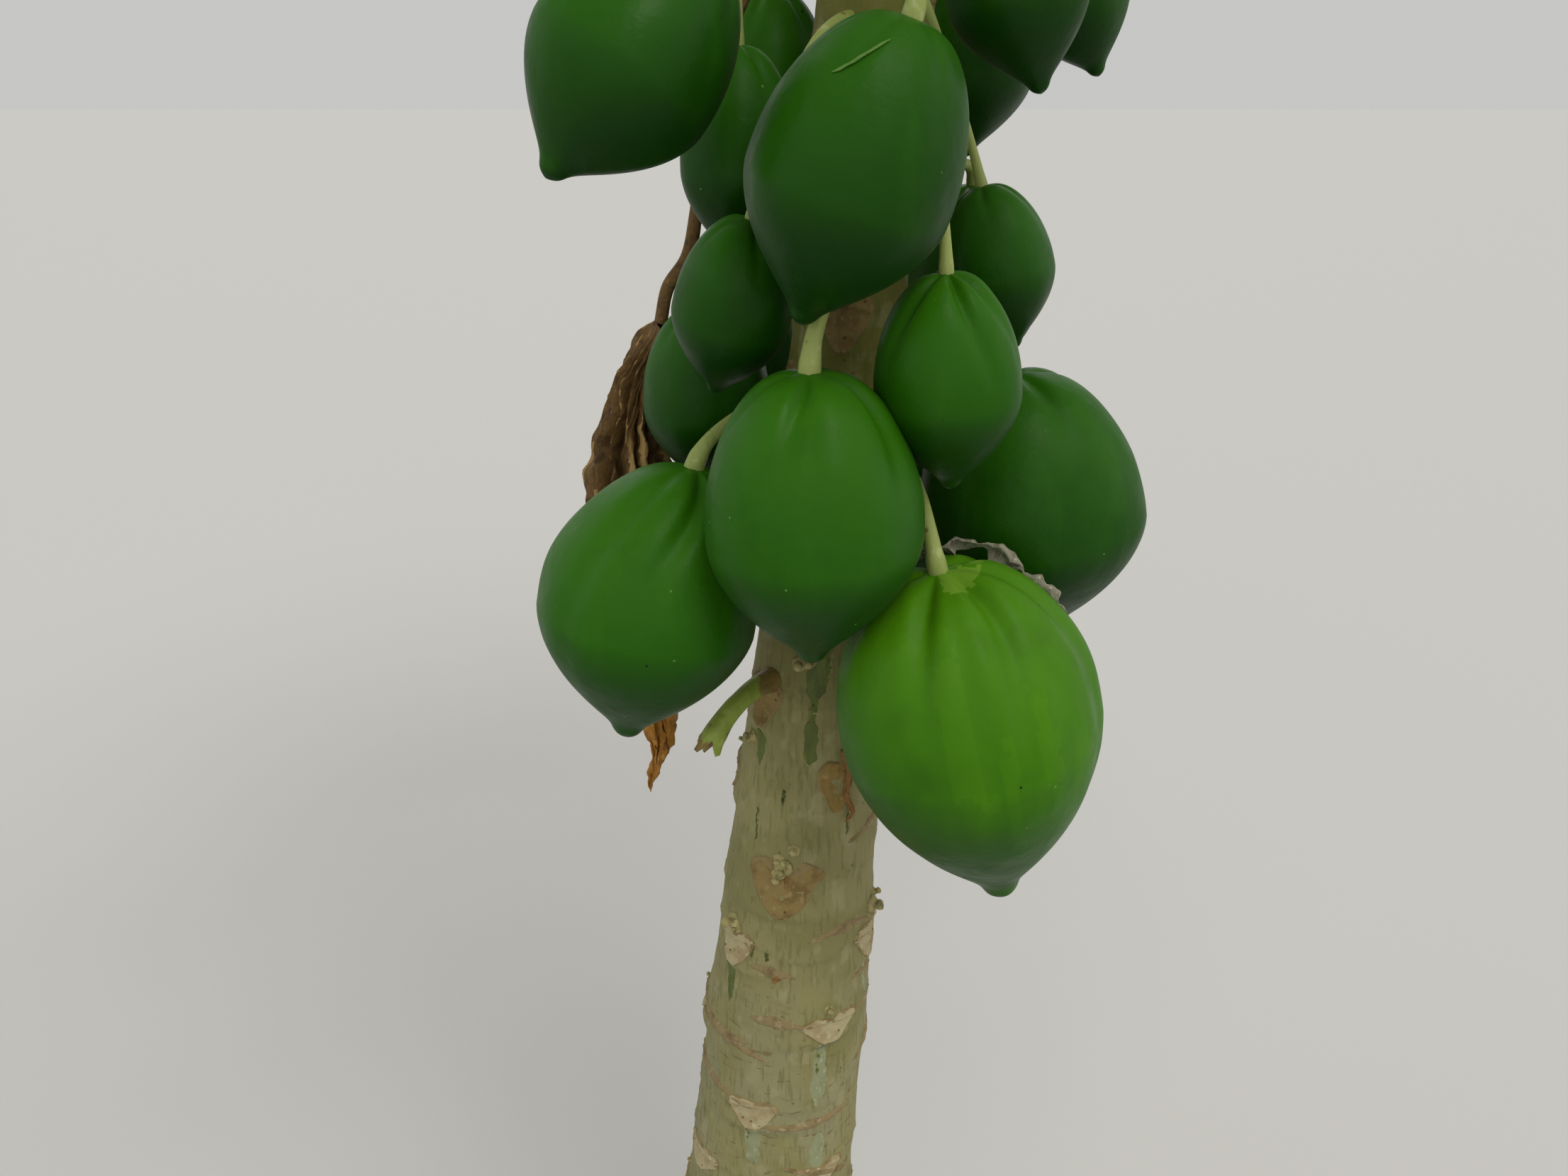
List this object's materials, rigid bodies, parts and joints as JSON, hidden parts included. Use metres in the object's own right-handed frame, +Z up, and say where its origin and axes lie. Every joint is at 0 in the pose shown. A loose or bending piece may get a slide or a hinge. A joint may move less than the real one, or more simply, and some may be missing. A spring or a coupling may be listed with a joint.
{
  "type": "papaya tree",
  "caption": "Young fruiting papaya tree: a leaning, scarred, unbranched trunk, a packed spiral of hanging green fruits, and a round top of lobed leaves on long stalks",
  "frame": {"origin": "centre of the flat cut under the trunk, at ground level", "axes": "+Z up, -Y the side that the picture looks at, +X to that view's right, where the trunk leans"},
  "size_m": [1.6813, 1.766, 2.1203],
  "materials": {
    "bark": "rough, ringed and scarred",
    "stalk": "smooth, slightly waxy",
    "withered": "dry and crumpled",
    "leaf": "matte with a soft sheen",
    "fruit_skin": "waxy, half gloss"
  },
  "bodies": {
    "root": {"trunk": "bark", "broken_stalk": "stalk", "withered_leaf": "withered", "growing_tip": "leaf", "fruit_01": "fruit_skin", "fruit_02": "fruit_skin", "fruit_03": "fruit_skin", "fruit_04": "fruit_skin", "fruit_05": "fruit_skin", "fruit_06": "fruit_skin", "fruit_07": "fruit_skin", "fruit_08": "fruit_skin", "fruit_09": "fruit_skin", "fruit_10": "fruit_skin", "fruit_11": "fruit_skin", "fruit_12": "fruit_skin", "fruit_13": "fruit_skin", "fruit_14": "fruit_skin", "fruit_15": "fruit_skin", "fruit_16": "fruit_skin", "fruit_17": "fruit_skin", "fruit_18": "fruit_skin", "fruit_19": "fruit_skin", "fruit_20": "fruit_skin", "fruit_21": "fruit_skin", "fruit_22": "fruit_skin", "fruit_23": "fruit_skin", "fruit_24": "fruit_skin", "leaf_01": "leaf", "leaf_02": "leaf", "leaf_03": "leaf", "leaf_04": "leaf", "leaf_05": "leaf", "leaf_06": "leaf", "leaf_07": "leaf", "leaf_08": "leaf", "leaf_09": "leaf", "leaf_10": "leaf", "leaf_11": "leaf", "leaf_12": "leaf", "leaf_13": "leaf", "leaf_14": "leaf", "leaf_15": "leaf", "leaf_16": "leaf", "leaf_17": "leaf", "leaf_18": "leaf", "leaf_19": "leaf", "leaf_20": "leaf", "leaf_21": "leaf", "leaf_22": "leaf", "leaf_23": "leaf"}
  },
  "joints": []
}
